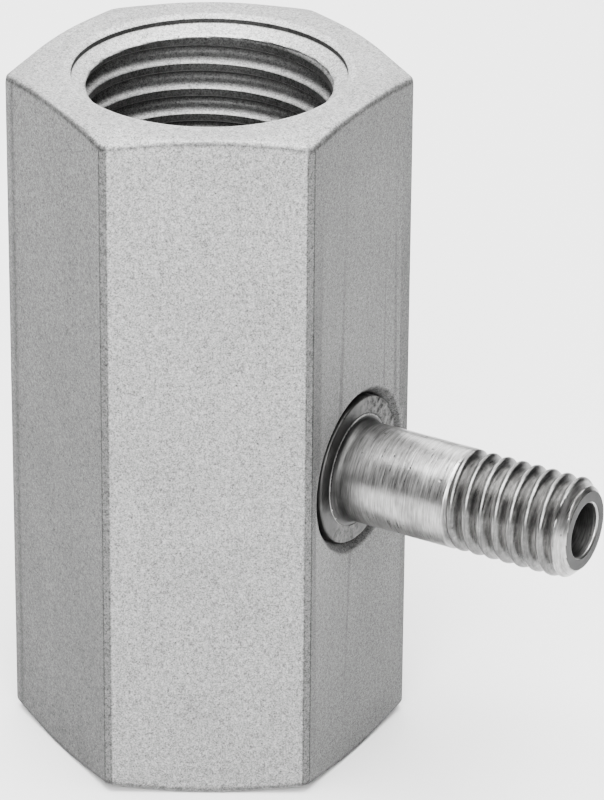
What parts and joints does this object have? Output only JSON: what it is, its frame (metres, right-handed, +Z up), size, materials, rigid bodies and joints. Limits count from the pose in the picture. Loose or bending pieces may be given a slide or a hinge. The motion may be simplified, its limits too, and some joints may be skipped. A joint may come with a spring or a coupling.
{
  "type": "hexagonal pipe fitting with side spigot",
  "caption": "Hexagonal metal body with a female threaded port in each end and a small hollow male-threaded spigot set in one flat.",
  "frame": {"origin": "on the axis of the two ports, in the plane of the bottom end face", "axes": "+Z up along the ports, +X out along the side spigot, square to the flat that it is set in"},
  "size_m": [0.0292, 0.0194, 0.035],
  "materials": {
    "body": "fine blasted, matte",
    "spigot": "turned, bright",
    "seal": "matte"
  },
  "bodies": {
    "root": {"hex_body": "body", "side_spigot": "spigot", "spigot_o_ring": "seal"}
  },
  "joints": []
}
